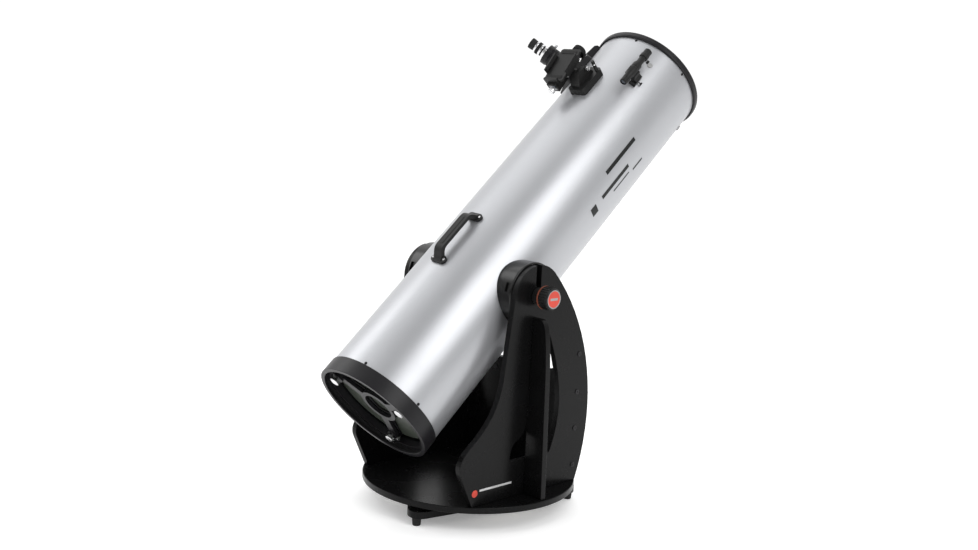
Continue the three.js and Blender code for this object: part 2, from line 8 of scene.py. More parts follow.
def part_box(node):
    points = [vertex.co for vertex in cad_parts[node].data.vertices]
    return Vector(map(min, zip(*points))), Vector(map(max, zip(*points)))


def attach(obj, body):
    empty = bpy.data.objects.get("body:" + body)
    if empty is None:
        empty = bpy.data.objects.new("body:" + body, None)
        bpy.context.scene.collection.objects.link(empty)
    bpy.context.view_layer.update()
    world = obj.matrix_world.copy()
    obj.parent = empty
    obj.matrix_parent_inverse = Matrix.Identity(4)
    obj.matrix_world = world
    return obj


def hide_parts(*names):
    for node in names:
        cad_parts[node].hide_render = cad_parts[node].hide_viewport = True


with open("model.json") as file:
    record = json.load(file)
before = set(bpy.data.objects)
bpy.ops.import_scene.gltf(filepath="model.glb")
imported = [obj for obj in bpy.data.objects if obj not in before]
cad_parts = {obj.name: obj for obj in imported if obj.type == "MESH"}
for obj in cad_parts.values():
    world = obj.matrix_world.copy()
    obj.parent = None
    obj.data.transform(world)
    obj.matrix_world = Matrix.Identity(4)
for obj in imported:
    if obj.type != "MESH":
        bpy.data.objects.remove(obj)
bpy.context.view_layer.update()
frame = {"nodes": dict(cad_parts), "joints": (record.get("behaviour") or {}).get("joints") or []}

radians = math.radians


# A node's output that does arithmetic.
class Value:
    def __init__(self, nodes, socket):
        self.nodes = nodes
        self.socket = socket

    def reckon(self, operation, first, second):
        return self.nodes.make('ShaderNodeMath', {'operation': operation}, {0: first, 1: second})

    def __add__(self, other):
        return self.reckon('ADD', self, other)

    def __radd__(self, other):
        return self.reckon('ADD', other, self)

    def __mul__(self, other):
        return self.reckon('MULTIPLY', self, other)

    def __rmul__(self, other):
        return self.reckon('MULTIPLY', other, self)


class Nodes:
    def __init__(self, tree):
        self.tree = tree

    # Any node: its type, its settings, then the values or links of its sockets.
    def make(self, kind, settings, inputs, output=0):
        node = self.tree.nodes.new(kind)
        for key, value in settings.items():
            setattr(node, key, value)
        for socket, value in inputs.items():
            self.feed(node.inputs[socket], value)
        return Value(self, node.outputs[output])

    def feed(self, socket, value):
        if isinstance(value, Value):
            self.tree.links.new(value.socket, socket)
        else:
            socket.default_value = value


class Finish(Nodes):
    def __init__(self, name, constants):
        self.material = bpy.data.materials.new(name)
        self.material.use_nodes = True
        super().__init__(self.material.node_tree)
        self.shader = self.tree.nodes['Principled BSDF']
        for socket, value in constants.items():
            self.shader.inputs[socket].default_value = value

    def drive(self, **inputs):
        for socket, value in inputs.items():
            self.feed(self.shader.inputs[socket.replace('_', ' ')], value)

    def places(self):
        return self.make('ShaderNodeTexCoord', {}, {}, 'Object')

    def noise(self, scale, detail=2.0, stretch=(1, 1, 1)):
        places = self.make('ShaderNodeMapping', {}, {'Vector': self.places(), 'Scale': stretch})
        return self.make('ShaderNodeTexNoise', {}, {'Vector': places, 'Scale': scale, 'Detail': detail}, 0)

    def blended(self, share, first, second):
        return self.make('ShaderNodeMix', {'data_type': 'RGBA'}, {0: share, 6: first, 7: second}, 2)

    def bumped(self, height, depth, strength):
        bump = self.make('ShaderNodeBump', {}, {'Height': height, 'Distance': depth, 'Strength': strength})
        self.drive(Normal=bump)


def shadeOf(level, tint=(1, 1, 1)):
    return (level * tint[0], level * tint[1], level * tint[2], 1)


silver = {'tone': 0.45, 'spread': 0.07, 'roughness': 0.37, 'metallic': 0.6, 'cool': (0.975, 0.99, 1.03)}


def silverPaint():
    paint = Finish('silverPaint', {
        'Metallic': silver['metallic'], 'Coat Weight': 0.1, 'Coat Roughness': 0.25})
    flakes = paint.noise(scale=1400, detail=1)
    smudges = paint.noise(scale=7, detail=3)
    dark = shadeOf(silver['tone'] * (1 - silver['spread']), silver['cool'])
    light = shadeOf(silver['tone'] * (1 + silver['spread']), silver['cool'])
    paint.drive(Base_Color=paint.blended(flakes, dark, light),
                Roughness=smudges * 0.07 + (silver['roughness'] - 0.035))
    paint.bumped(paint.noise(scale=420, detail=1), depth=0.00006, strength=0.25)
    return paint.material


def insideBlack():
    black = Finish('flockBlack', {'Specular IOR Level': 0.25})
    grain = black.noise(scale=900, detail=3)
    black.drive(Base_Color=black.blended(grain, shadeOf(0.008), shadeOf(0.022)), Roughness=grain * 0.1 + 0.8)
    black.bumped(grain, depth=0.0003, strength=0.6)
    return black.material


satinBoard = {'tone': 0.004, 'roughness': 0.26, 'gloss': 0.13, 'pebble': 650}


def laminate():
    board = Finish('blackLaminate', {'Specular IOR Level': satinBoard['gloss']})
    smudges = board.noise(scale=9, detail=4)
    pebble = board.make('ShaderNodeTexVoronoi', {'feature': 'SMOOTH_F1'},
                        {'Vector': board.places(), 'Scale': satinBoard['pebble']})
    tone = satinBoard['tone']
    board.drive(Base_Color=board.blended(smudges, shadeOf(tone * 0.85), shadeOf(tone * 1.25, (1, 1, 1.06))),
                Roughness=smudges * 0.12 + (satinBoard['roughness'] - 0.05))
    board.bumped(pebble, depth=0.00008, strength=0.22)
    return board.material


# A moulded or cast surface: its tone and roughness, and its grain's scale and strength.
def grained(name, tone, roughness, scale, strength, constants=None, tint=(1, 1, 1)):
    cast = Finish(name, {'Specular IOR Level': 0.22, **(constants or {})})
    grain = cast.noise(scale, detail=2)
    wear = cast.noise(scale=28, detail=3)
    cast.drive(Base_Color=cast.blended(wear, shadeOf(tone * 0.8, tint), shadeOf(tone * 1.25, tint)),
               Roughness=wear * 0.1 + (roughness - 0.05))
    cast.bumped(grain, depth=0.0001, strength=strength)
    return cast.material


def turnedMetal():
    metal = Finish('turnedMetal', {'Metallic': 1.0})
    lines = metal.noise(scale=60, detail=3, stretch=(1, 30, 30))
    metal.drive(Base_Color=metal.blended(lines, shadeOf(0.6), shadeOf(0.8, (1, 1, 1.02))),
                Roughness=lines * 0.16 + 0.14)
    metal.bumped(lines, depth=0.00003, strength=0.2)
    return metal.material


def groundGlass():
    glass = Finish('groundGlass', {'Specular IOR Level': 0.35, 'Coat Weight': 0.1})
    cloud = glass.noise(scale=30, detail=4)
    glass.drive(Base_Color=glass.blended(cloud, (0.03, 0.035, 0.028, 1), (0.052, 0.06, 0.048, 1)),
                Roughness=cloud * 0.2 + 0.25)
    glass.bumped(glass.noise(scale=1500, detail=2), depth=0.00005, strength=0.3)
    return glass.material


def silvered():
    coat = Finish('silveredFace', {'Metallic': 1.0})
    dust = coat.noise(scale=45, detail=4)
    coat.drive(Base_Color=coat.blended(dust, shadeOf(0.86), shadeOf(0.92)), Roughness=dust * 0.03 + 0.02)
    return coat.material


def coatedLens():
    lens = Finish('coatedLens', {'Coat Weight': 1.0, 'Coat Roughness': 0.02, 'Specular IOR Level': 0.7})
    haze = lens.noise(scale=120, detail=2)
    lens.drive(Base_Color=lens.blended(haze, (0.012, 0.02, 0.028, 1), (0.02, 0.03, 0.05, 1)),
               Roughness=haze * 0.04 + 0.03)
    return lens.material


# What each piece can be painted with.
finishes = {
    'silver': silverPaint(), 'inside': insideBlack(), 'laminate': laminate(), 'metal': turnedMetal(),
    'glass': groundGlass(), 'mirror': silvered(), 'lens': coatedLens(),
    'powder': grained('powderBlack', 0.011, 0.36, 1300, 0.35, tint=(1, 0.96, 1.08)),
    'plastic': grained('mouldedBlack', 0.01, 0.4, 1900, 0.4),
    'gloss': grained('glossBlack', 0.005, 0.22, 90, 0.03, {'Coat Weight': 0.2, 'Coat Roughness': 0.15}),
    'rubber': grained('mattRubber', 0.014, 0.78, 1100, 0.6, {'Specular IOR Level': 0.3}),
    'pad': grained('slipperyPad', 0.72, 0.45, 600, 0.2, tint=(1, 0.985, 0.94)),
    'orange': grained('orangeTrim', 0.5, 0.4, 900, 0.15, tint=(1.12, 0.13, 0.09)),
    'orangeBand': grained('orangeBand', 0.13, 0.5, 900, 0.15, tint=(1.2, 0.34, 0.2)),
    'grey': grained('greyTrim', 0.3, 0.4, 900, 0.15),
    'ink': grained('markInk', 0.012, 0.35, 800, 0.1),
    'paleInk': grained('paleInk', 0.5, 0.4, 800, 0.1),
}
print('finishes made')


# Selects one object and nothing else.
def makeActive(piece):
    bpy.ops.object.select_all(action='DESELECT')
    bpy.context.view_layer.objects.active = piece
    piece.select_set(True)


def openMesh(piece, mode='FACE'):
    makeActive(piece)
    bpy.ops.object.mode_set(mode='EDIT')
    bpy.ops.mesh.select_mode(type=mode)
    bpy.ops.mesh.select_all(action='DESELECT')


def pickFaces(piece, wanted):
    shape = bmesh.from_edit_mesh(piece.data)
    for face in shape.faces:
        face.select_set(bool(wanted(face)))
    bmesh.update_edit_mesh(piece.data)


def closeMesh():
    bpy.ops.object.mode_set(mode='OBJECT')


def applied(piece, kind, **settings):
    makeActive(piece)
    modifier = piece.modifiers.new('step', kind)
    for key, value in settings.items():
        setattr(modifier, key, value)
    bpy.ops.object.modifier_apply(modifier='step')
    return piece


def rounded(piece, width, segments=2, sharpest=28):
    return applied(piece, 'BEVEL', width=width, segments=segments, limit_method='ANGLE',
                   angle_limit=radians(sharpest), use_clamp_overlap=True)


def settled(piece, matrix=Matrix.Identity(4)):
    piece.data.transform(matrix @ piece.matrix_world)
    piece.matrix_world = Matrix.Identity(4)
    return piece


def painted(piece, finish):
    piece.data.materials.clear()
    piece.data.materials.append(finishes[finish])
    return piece


def copied(piece, matrix=Matrix.Identity(4)):
    twin = piece.copy()
    twin.data = piece.data.copy()
    bpy.context.scene.collection.objects.link(twin)
    twin.data.transform(matrix)
    return twin


def joined(first, *others):
    makeActive(first)
    for other in others:
        other.select_set(True)
    bpy.ops.object.join()
    return first


def discarded(*pieces):
    for piece in pieces:
        bpy.data.objects.remove(piece)


def outward(piece):
    openMesh(piece)
    bpy.ops.mesh.select_all(action='SELECT')
    bpy.ops.mesh.remove_doubles(threshold=0.000005)
    bpy.ops.mesh.normals_make_consistent(inside=False)
    closeMesh()
    return piece


# A line of [radius, height] steps, extruded point by point and spun round Z.
def spun(profile, sides=64):
    bpy.ops.object.select_all(action='DESELECT')
    bpy.ops.mesh.primitive_plane_add(size=0.001)
    piece = bpy.context.object
    openMesh(piece, 'VERT')
    bpy.ops.mesh.select_all(action='SELECT')
    bpy.ops.mesh.merge(type='CENTER')
    bpy.ops.mesh.select_all(action='SELECT')
    bpy.ops.transform.translate(value=(profile[0][0], 0, profile[0][1]))
    for here, there in zip(profile, profile[1:]):
        step = (there[0] - here[0], 0, there[1] - here[1])
        bpy.ops.mesh.extrude_vertices_move(TRANSFORM_OT_translate={'value': step})
    bpy.ops.mesh.select_all(action='SELECT')
    bpy.ops.mesh.spin(steps=sides, angle=2 * math.pi, center=(0, 0, 0), axis=(0, 0, 1))
    closeMesh()
    return outward(piece)


# A spun part with rounded edges, painted when it has a finish of its own.
def turned(profile, sides, edge, finish=None, segments=2):
    piece = rounded(spun(profile, sides), edge, segments)
    return painted(piece, finish) if finish else piece


def cylinderOf(radius, low, high, sides=64):
    bpy.ops.object.select_all(action='DESELECT')
    middle = (0, 0, (low + high) / 2)
    bpy.ops.mesh.primitive_cylinder_add(vertices=sides, radius=radius, depth=high - low, location=middle)
    return settled(bpy.context.object)


def boxOf(x0, x1, y0, y1, z0, z1):
    bpy.ops.object.select_all(action='DESELECT')
    middle = ((x0 + x1) / 2, (y0 + y1) / 2, (z0 + z1) / 2)
    bpy.ops.mesh.primitive_cube_add(size=1, location=middle, scale=(x1 - x0, y1 - y0, z1 - z0))
    return settled(bpy.context.object)


# A drum whose side carries evenly spaced raised ribs.
def ribbed(radius, low, high, ribs, rise, bevel=0.0004):
    drum = cylinderOf(radius, low, high, ribs * 4)
    openMesh(drum)

    def onRib(face):
        middle = face.calc_center_median()
        turn = math.atan2(middle.y, middle.x) / (2 * math.pi) * ribs * 4
        return abs(face.normal.z) < 0.5 and math.floor(turn) % 4 < 2

    pickFaces(drum, onRib)
    bpy.ops.mesh.extrude_region_shrink_fatten(TRANSFORM_OT_shrink_fatten={'value': rise})
    closeMesh()
    return rounded(drum, bevel, 2, 35)


# A copy of a CAD node, its corners merged and its edges rounded.
def refined(node, width, segments=2, sharpest=28):
    piece = bpy.data.objects.new(node, frame['nodes'][node].data.copy())
    bpy.context.scene.collection.objects.link(piece)
    piece.data.materials.clear()
    openMesh(piece)
    bpy.ops.mesh.select_all(action='SELECT')
    bpy.ops.mesh.remove_doubles(threshold=0.00002)
    bpy.ops.mesh.dissolve_limited(angle_limit=radians(0.6))
    closeMesh()
    if width:
        rounded(piece, width, segments, sharpest)
    return piece


def smoothed(piece, angle=32):
    makeActive(piece)
    bpy.ops.object.shade_smooth_by_angle(angle=radians(angle))
    applied(piece, 'WEIGHTED_NORMAL', keep_sharp=True)
    return piece


# Paints a finished piece when it has a finish, smooths it, names it, sets its body, and hides the CAD nodes
# it stands for.
def shown(piece, name, body, stands=(), finish=None, angle=32):
    if finish:
        painted(piece, finish)
    smoothed(piece, angle)
    piece.name = name
    piece.data.name = name
    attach(piece, body)
    if stands:
        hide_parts(*stands)


# A CAD node whose own shape, with rounded edges, is the finished piece.
def dressed(node, name, body, finish, width, segments=2, sharpest=28, angle=32):
    shown(refined(node, width, segments, sharpest), name, body, [node], finish, angle)


def cutAway(piece, tool):
    applied(piece, 'BOOLEAN', operation='DIFFERENCE', solver='EXACT', object=tool)
    bpy.data.objects.remove(tool)


def middleOf(node):
    low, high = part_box(node)
    return (low + high) / 2


# The tube's own frame: X across, Y along from the rear rim, Z out of its top.
tube = {'radius': 0.1775, 'wall': 0.001, 'length': 1.452, 'setBack': 0.006, 'rearRing': 0.0476,
        'frontRing': 0.0217, 'sides': 144}
alongTube = (middleOf('front_ring') - middleOf('rear_ring')).normalized()
across = Vector((1, 0, 0))
outOfTop = across.cross(alongTube)
rearRim = middleOf('rear_ring') - alongTube * tube['rearRing'] / 2


def turnBy(degrees, axis):
    return Matrix.Rotation(radians(degrees), 4, axis)


def moveBy(x, y, z):
    return Matrix.Translation((x, y, z))


def placedAt(x, y, z, degrees, axis):
    return moveBy(x, y, z) @ turnBy(degrees, axis)


# A frame with these three directions as its axes.
def basis(x, y, z, origin):
    return Matrix.Translation(origin) @ Matrix((x, y, z)).transposed().to_4x4()


inTube = basis(across, alongTube, outOfTop, rearRim)
tilt = next(joint for joint in frame['joints'] if joint['name'] == 'altitude_tilt')
pivot = Vector(tilt['pos_m'])
axlePlace = (inTube.inverted() @ pivot).y


# Local Z runs along the tube; local X turns to an angle from the tube's top.
def alongAt(place=0.0, angle=0.0):
    return inTube @ turnBy(angle, 'Y') @ moveBy(0, place, 0) @ turnBy(-90, 'X')


# Local Z points straight out of the tube at an angle from its top, local Y along it.
def outAt(place, angle, height=0.0):
    return inTube @ moveBy(0, place, 0) @ turnBy(angle, 'Y') @ moveBy(0, 0, height)


# Local Z points out along the tilt axle.
def onAxle(side):
    return placedAt(0, pivot.y, pivot.z, 90 * side, 'Y')


camera = {'place': (2.5461, -2.6334, 1.2421), 'back': (0.7036, -0.6926, 0.1590), 'roll': 3.052, 'lens': 45.3,
          'sensor': 36}
bpy.ops.object.camera_add(location=camera['place'])
eye = bpy.context.object
eye.name = 'viewCamera'
eye.rotation_mode = 'QUATERNION'
level = (-Vector(camera['back'])).to_track_quat('-Z', 'Y')
eye.rotation_quaternion = level @ Quaternion((0, 0, 1), radians(camera['roll']))
eye.data.lens = camera['lens']
eye.data.sensor_width = camera['sensor']
bpy.context.scene.camera = eye

lights = {
    'keySoftbox': {'place': (3.6, -0.3, 3.2), 'aim': (0.1, 0.1, 0.8), 'size': (2.3, 3.4), 'power': 104},
    'rimSoftbox': {'place': (-3.2, -1.6, 2.6), 'aim': (0, 0, 0.9), 'size': (1.6, 3.0), 'power': 38},
    'fillSoftbox': {'place': (-0.3, -3.4, 2.9), 'aim': (0, 0, 0.9), 'size': (3.6, 2.6), 'power': 36},
}
for name, light in lights.items():
    bpy.ops.object.light_add(type='AREA', location=light['place'])
    lamp = bpy.context.object
    lamp.name = name
    line = Vector(light['aim']) - Vector(light['place'])
    lamp.rotation_euler = line.to_track_quat('-Z', 'Y').to_euler()
    lamp.data.shape = 'RECTANGLE'
    lamp.data.size, lamp.data.size_y = light['size']
    lamp.data.energy = light['power']

overhead = {'place': (0, 0, 5), 'strength': 0.7, 'spread': 60, 'lean': (-0.2, -0.3, 0)}
bpy.ops.object.light_add(type='SUN', location=overhead['place'], rotation=overhead['lean'])
sun = bpy.context.object
sun.name = 'overheadScrim'
sun.data.energy = overhead['strength']
sun.data.angle = radians(overhead['spread'])

# The studio is white behind the object and dimmer behind the viewer.
studio = {'bright': 1.06, 'dim': 0.26, 'towards': (-0.62, 0.62, 0.1), 'dimUpTo': -0.35, 'brightFrom': 0.45}
bpy.context.scene.view_settings.view_transform = 'Standard'
world = bpy.data.worlds.new('studioWhite')
world.use_nodes = True
bpy.context.scene.world = world
sky = Nodes(world.node_tree)
background = sky.tree.nodes['Background'].inputs
background['Color'].default_value = (1, 1, 1, 1)
heading = sky.make('ShaderNodeTexCoord', {}, {}, 'Generated')
facing = sky.make('ShaderNodeVectorMath', {'operation': 'DOT_PRODUCT'}, {0: heading, 1: studio['towards']},
                  'Value')
glow = sky.make('ShaderNodeMapRange', {'interpolation_type': 'SMOOTHSTEP'}, {
    'Value': facing, 'From Min': studio['dimUpTo'], 'From Max': studio['brightFrom'],
    'To Min': studio['dim'], 'To Max': studio['bright']})
sky.feed(background['Strength'], glow)

ground = {'size': 400, 'tone': 0.91, 'spread': 0.01, 'roughness': 0.6, 'gloss': 0.2, 'glow': 0.26}
bpy.ops.object.select_all(action='DESELECT')
bpy.ops.mesh.primitive_plane_add(size=ground['size'], location=(0, 0, 0))
floor = settled(bpy.context.object)
floor.name = 'studioFloor'
floorFinish = Finish('paleFloor', {
    'Roughness': ground['roughness'], 'Specular IOR Level': ground['gloss'],
    'Emission Color': (1, 1, 1, 1), 'Emission Strength': ground['glow']})
floorCloud = floorFinish.noise(scale=0.8, detail=2)
floorFinish.drive(Base_Color=floorFinish.blended(
    floorCloud, shadeOf(ground['tone'] - ground['spread']), shadeOf(ground['tone'] + ground['spread'])))
floor.data.materials.append(floorFinish.material)
print('camera, lights and floor set')

boards = {'edge': 0.0011, 'discSides': 160, 'discEdge': 0.002, 'discHole': 0.0066}
for node in ('ground_board', 'front_board', 'side_panel_right', 'side_panel_left', 'side_fin_right',
             'side_fin_left'):
    body = 'base' if node == 'ground_board' else 'rocker'
    dressed(node, node + '_laminate', body, 'laminate', boards['edge'], sharpest=40, angle=30)

discLow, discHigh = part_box('azimuth_disc')
discMiddle = (discLow + discHigh) / 2
discRadius = (discHigh.x - discLow.x) / 2
disc = turned([
    (boards['discHole'], discLow.z), (discRadius, discLow.z), (discRadius, discHigh.z),
    (boards['discHole'], discHigh.z), (boards['discHole'], discLow.z),
], boards['discSides'], boards['discEdge'], segments=3)
settled(disc, moveBy(0, discMiddle.y, 0))
shown(disc, 'azimuth_disc_laminate', 'rocker', ['azimuth_disc'], 'laminate')

feet = {'radius': 0.013, 'height': 0.0237, 'groove': 0.0012}
foot = spun([
    (0, 0.0012), (0.0042, 0.0012), (0.0042, 0), (0.0098, 0), (0.0116, 0.0016), (0.0122, 0.006),
    (0.0122 - feet['groove'], 0.0075), (0.0124, 0.009), (feet['radius'], 0.0195),
    (feet['radius'], feet['height']), (0, feet['height']),
], 48)
painted(foot, 'rubber')
washer = painted(spun([(0, 0.0013), (0.004, 0.0013), (0.004, 0.0022), (0, 0.0022)], 24), 'metal')
joined(foot, washer)
for index in (1, 2, 3):
    node = f'foot_{index}'
    place = middleOf(node)
    shown(copied(foot, moveBy(place.x, place.y, 0)), node + '_rubber', 'base', [node])
    pad = f'azimuth_pad_{index}'
    shown(refined(pad, 0.0008), pad + '_slider', 'base', [pad], 'pad')
discarded(foot)

dressed('azimuth_pivot_bolt', 'pivot_bolt', 'base', 'metal', 0.0008, sharpest=40)
dressed('azimuth_lock_nut', 'pivot_lock_nut', 'base', 'metal', 0.001, sharpest=40)
for side in ('right', 'left'):
    node = f'slot_liner_{side}'
    dressed(node, node + '_plastic', 'rocker', 'plastic', 0.0005)

# Flat-headed board bolts with a hexagon socket, drawn lying on Z.
bolts = {'head': 0.0075, 'under': 0.00005, 'thick': 0.0022, 'edge': 0.0011, 'socket': 0.0026,
         'socketFloor': 0.0008, 'heights': (0.122, 0.234, 0.344, 0.458), 'rackHeight': 0.353,
         'rackSide': 0.097}
bolt = rounded(cylinderOf(bolts['head'], bolts['under'], bolts['thick'], 40), bolts['edge'], 3)
cutAway(bolt, cylinderOf(bolts['socket'], bolts['socketFloor'], 0.004, 6))
painted(bolt, 'powder')
panelSpot = middleOf('front_board').y
for side, face in ((1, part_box('side_panel_right')[1].x), (-1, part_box('side_panel_left')[0].x)):
    row = [copied(bolt, placedAt(face, panelSpot, height, 90 * side, 'Y')) for height in bolts['heights']]
    shown(joined(*row), 'panel_bolts_right' if side > 0 else 'panel_bolts_left', 'rocker')
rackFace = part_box('front_board')[0].y
rack = [copied(bolt, placedAt(x, rackFace, bolts['rackHeight'], 90, 'X'))
        for x in (-bolts['rackSide'], bolts['rackSide'])]
shown(joined(*rack), 'rack_screws', 'rocker')
discarded(bolt)
print('base and rocker made')

shell = cylinderOf(tube['radius'], tube['setBack'], tube['length'] - tube['setBack'], tube['sides'])
openMesh(shell)
pickFaces(shell, lambda face: abs(face.normal.z) > 0.9)
bpy.ops.mesh.delete(type='ONLY_FACE')
closeMesh()
applied(shell, 'SOLIDIFY', thickness=tube['wall'], offset=-1, use_even_offset=True)
settled(shell, alongAt())
focuser = {'angle': -45, 'place': 1.295, 'hole': 0.034}
hole = settled(cylinderOf(focuser['hole'], 0.1, 0.25, 64), outAt(focuser['place'], focuser['angle']))
cutAway(shell, hole)
shell.data.materials.append(finishes['silver'])
shell.data.materials.append(finishes['inside'])
middle = inTube.inverted()
for face in shell.data.polygons:
    centre = middle @ face.center
    normal = middle.to_3x3() @ face.normal
    outwards = centre.x * normal.x + centre.z * normal.z
    face.material_index = 1 if outwards < -0.01 else 0
shown(shell, 'tube_shell_steel', 'tube', ['tube_shell'], angle=25)

rings = {'rear': 0.1805, 'rearBore': 0.168, 'front': 0.1853, 'frontBore': 0.171, 'seat': 0.1779, 'lip': 0.006,
         'gap': 0.0003, 'edge': 0.0014}
rearLip = rings['lip'] - rings['gap']
rearRing = turned([
    (rings['rearBore'], 0), (rings['rear'], 0), (rings['rear'], tube['rearRing']),
    (rings['seat'], tube['rearRing']), (rings['seat'], rearLip), (rings['rearBore'], rearLip),
    (rings['rearBore'], 0),
], tube['sides'], rings['edge'], segments=3)
shown(settled(rearRing, alongAt()), 'rear_ring_casting', 'tube', ['rear_ring'], 'powder')
back = tube['length'] - tube['frontRing']
frontLip = tube['length'] - rings['lip'] + rings['gap']
frontRing = turned([
    (rings['seat'], back), (rings['front'] - 0.0025, back), (rings['front'], back + 0.004),
    (rings['front'], tube['length'] - 0.004), (rings['front'] - 0.003, tube['length']),
    (rings['frontBore'], tube['length']), (rings['frontBore'], frontLip), (rings['seat'], frontLip),
    (rings['seat'], back),
], tube['sides'], rings['edge'], segments=3)
shown(settled(frontRing, alongAt()), 'front_ring_casting', 'tube', ['front_ring'], 'powder')

# A pan-headed cross screw, drawn standing on Z.
screws = {'head': 0.0042, 'rise': 0.0026, 'slotHalf': 0.0004, 'slotFloor': 0.0014, 'frontPlace': 1.4248,
          'frontTurn': 16.4, 'rearPlace': 0.0525, 'rearTurn': 17}
screw = spun([
    (0, 0), (screws['head'], 0), (screws['head'], 0.0007), (0.0034, 0.0018), (0.0019, screws['rise']),
    (0, screws['rise'] + 0.0001),
], 28)
for turn in (0, 90):
    slotTool = boxOf(-0.0019, 0.0019, -screws['slotHalf'], screws['slotHalf'], screws['slotFloor'], 0.004)
    cutAway(screw, settled(slotTool, turnBy(turn, 'Z')))
painted(screw, 'powder')
for name, place, first in (('front_ring_screws', screws['frontPlace'], screws['frontTurn']),
                           ('rear_ring_screws', screws['rearPlace'], screws['rearTurn'])):
    around = [copied(screw, outAt(place, first + 60 * k, tube['radius'])) for k in range(6)]
    shown(joined(*around), name, 'tube')
print('tube and rings made')

mirror = {'radius': 0.1525, 'back': 0.0423, 'thick': 0.036, 'focal': 1.5, 'chamfer': 0.0015, 'circle': 0.138,
          'angles': (-46, 74, 194), 'lockTurn': 10.5}
front = mirror['back'] + mirror['thick']


# Local Z runs along the tube, out on the circle of the collimation knobs.
def alongAtCircle(angle):
    return inTube @ turnBy(angle, 'Y') @ moveBy(0, 0, mirror['circle']) @ turnBy(-90, 'X')


# How far up the tube the hollow face stands at a radius.
def dished(r):
    return front - (mirror['radius'] ** 2 - r ** 2) / (4 * mirror['focal'])


glass = spun([(r, dished(r)) for r in (0, 0.03, 0.06, 0.09, 0.12, mirror['radius'] - 0.0012)] + [
    (mirror['radius'], front - mirror['chamfer']), (mirror['radius'], mirror['back'] + mirror['chamfer']),
    (mirror['radius'] - mirror['chamfer'], mirror['back']), (0, mirror['back']),
], 128)
glass.data.materials.append(finishes['glass'])
glass.data.materials.append(finishes['mirror'])
for face in glass.data.polygons:
    face.material_index = 1 if face.center.z > front - 0.0045 and abs(face.normal.z) > 0.95 else 0
shown(settled(glass, alongAt()), 'primary_mirror_glass', 'tube', ['primary_mirror'])
dressed('mirror_cell', 'mirror_cell_casting', 'tube', 'powder', 0.0012, sharpest=50)
dressed('mirror_plate', 'mirror_plate_casting', 'tube', 'powder', 0.0008, sharpest=50)

knurl = {'radius': 0.0134, 'ribs': 30, 'rise': 0.0006}
cellKnob = joined(
    turned([
        (0, 0.0042), (0.0105, 0.0042), (0.0118, 0.0055), (0.0118, 0.0142), (0.0062, 0.0149), (0.004, 0.016),
        (0.004, 0.037), (0, 0.037),
    ], 40, 0.0004),
    ribbed(knurl['radius'], 0.0055, 0.0138, knurl['ribs'], knurl['rise'], 0.0002))
painted(cellKnob, 'metal')
lockScrew = painted(joined(
    turned([(0, 0.0135), (0.005, 0.0135), (0.005, 0.021), (0.0024, 0.0212), (0.0024, 0.026), (0, 0.026)],
           32, 0.0003),
    ribbed(0.0049, 0.0145, 0.0205, 18, 0.0003, 0.0001)), 'metal')
# A clip is a stem outside the glass with a finger over its face.
grasp = {'half': 0.009, 'outer': 0.1563, 'stem': 0.1533, 'finger': 0.1475, 'foot': 0.038, 'gap': 0.0012,
         'top': 0.0045, 'edge': 0.0006}
clip = joined(
    boxOf(-grasp['half'], grasp['half'], grasp['stem'], grasp['outer'], grasp['foot'], front + grasp['top']),
    boxOf(-grasp['half'], grasp['half'], grasp['finger'], grasp['outer'], front + grasp['gap'],
          front + grasp['top']))
painted(rounded(clip, grasp['edge']), 'powder')
locks, clips = [], []
for index, angle in enumerate(mirror['angles'], 1):
    node = f'collimation_knob_{index}'
    shown(copied(cellKnob, alongAtCircle(angle)), node + '_turned', node, [node])
    locks.append(copied(lockScrew, alongAtCircle(angle - mirror['lockTurn'])))
    clips.append(copied(clip, alongAt(0, angle + 60)))
shown(joined(*locks), 'collimation_lock_screws', 'tube')
shown(joined(*clips), 'mirror_clips', 'tube')
discarded(cellKnob, lockScrew, clip)

spider = {'place': 1.361, 'hub': 0.025, 'screwPlace': 1.3798, 'screwCircle': 0.0148,
          'vaneAngles': (45, 135, 225, 315)}
hub = turned([
    (0, -0.02), (0.008, -0.02), (0.008, -0.018), (0.022, -0.018), (spider['hub'], -0.015),
    (spider['hub'], 0.014), (0.021, 0.02), (0.0085, 0.02), (0.0085, 0.0175), (0, 0.0175),
], 64, 0.0006)
shown(settled(hub, alongAt(spider['place'])), 'spider_hub_turned', 'tube', ['spider_hub'],
      'powder')
hubScrews = [copied(screw, alongAt(spider['screwPlace'], 120 * k) @ moveBy(0, -spider['screwCircle'], 0.0004))
             for k in range(3)]
shown(joined(*hubScrews), 'spider_hub_screws', 'tube', finish='metal')
discarded(screw)
# The fourth vane's nut is under the focuser.
vaneNut = turned([(0, 0), (0.009, 0), (0.009, 0.0012), (0.0078, 0.0034), (0.003, 0.0042), (0, 0.0042)],
                 40, 0.0003)
for index, angle in enumerate(spider['vaneAngles'], 1):
    node = f'spider_vane_{index}'
    dressed(node, node + '_strip', 'tube', 'powder', 0.0003, segments=1)
nuts = [copied(vaneNut, outAt(spider['place'], angle, tube['radius'])) for angle in spider['vaneAngles'][:3]]
shown(joined(*nuts), 'spider_nuts', 'tube', finish='grey')
discarded(vaneNut)
dressed('secondary_mirror', 'secondary_mirror_glass', 'tube', 'mirror', 0.0003, 1, 50)
dressed('secondary_holder', 'secondary_holder_turned', 'tube', 'powder', 0.0006, sharpest=50)
print('optics made')

